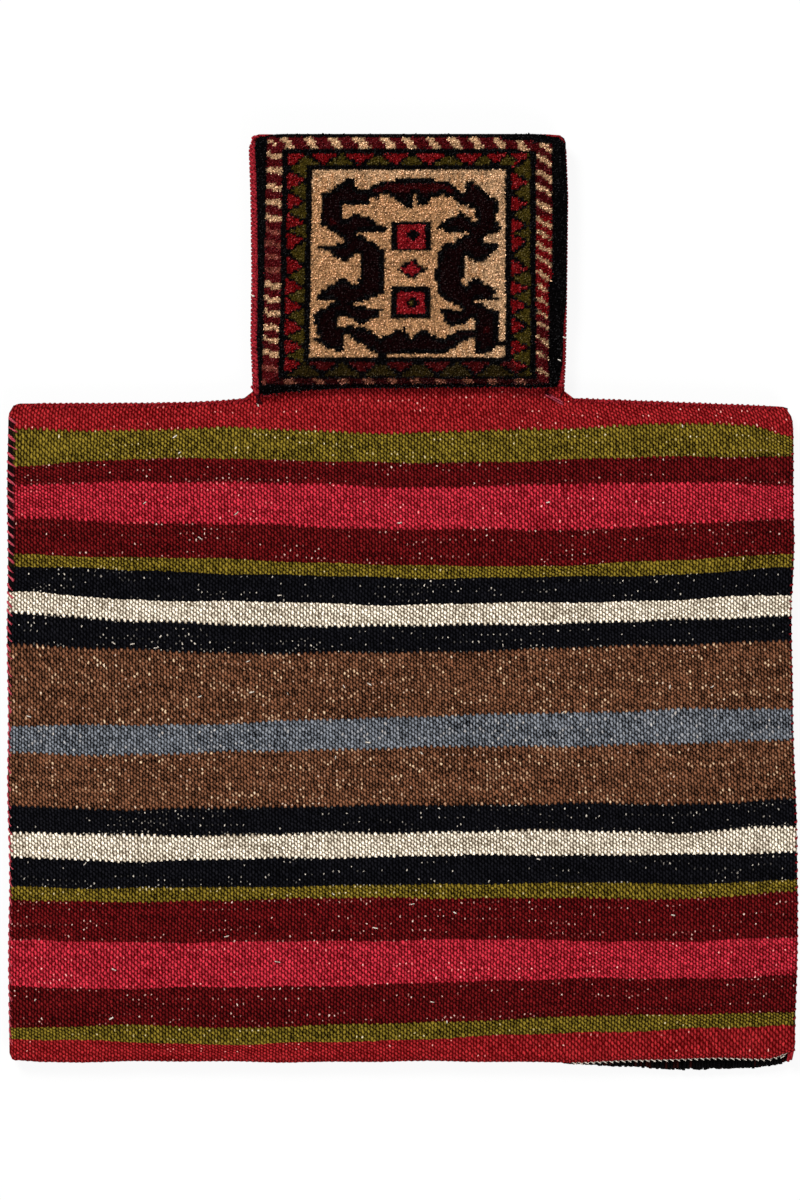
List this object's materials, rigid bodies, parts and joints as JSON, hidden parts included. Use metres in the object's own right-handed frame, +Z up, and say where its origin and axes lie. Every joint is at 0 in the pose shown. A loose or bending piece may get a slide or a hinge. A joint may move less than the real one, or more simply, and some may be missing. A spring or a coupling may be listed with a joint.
{
  "type": "pile salt bag",
  "caption": "Flat wool bag with a wide striped body and a narrow open neck, woven in one length, folded at the foot and closed along its edges with overcast yarn.",
  "frame": {"origin": "centre of the bag's plan box, on the ground that it lies on", "axes": "+X to the right of the striped back, +Y from the fold towards the open mouth, +Z up out of the back"},
  "size_m": [0.4198, 0.4998, 0.025],
  "materials": {
    "woven_wool": "matte striped flat weave and cut pile",
    "side_yarn": "matte spun wool",
    "shoulder_yarn": "matte spun wool",
    "edging_yarn": "matte spun wool",
    "tack_yarn": "matte spun wool"
  },
  "bodies": {
    "root": {"bag_cloth": "woven_wool", "left_side_seam": "side_yarn", "right_side_seam": "side_yarn", "left_shoulder_seam": "shoulder_yarn", "right_shoulder_seam": "shoulder_yarn", "left_neck_edging": "edging_yarn", "right_neck_edging": "edging_yarn", "left_neck_tack": "tack_yarn", "right_neck_tack": "tack_yarn"}
  },
  "joints": []
}
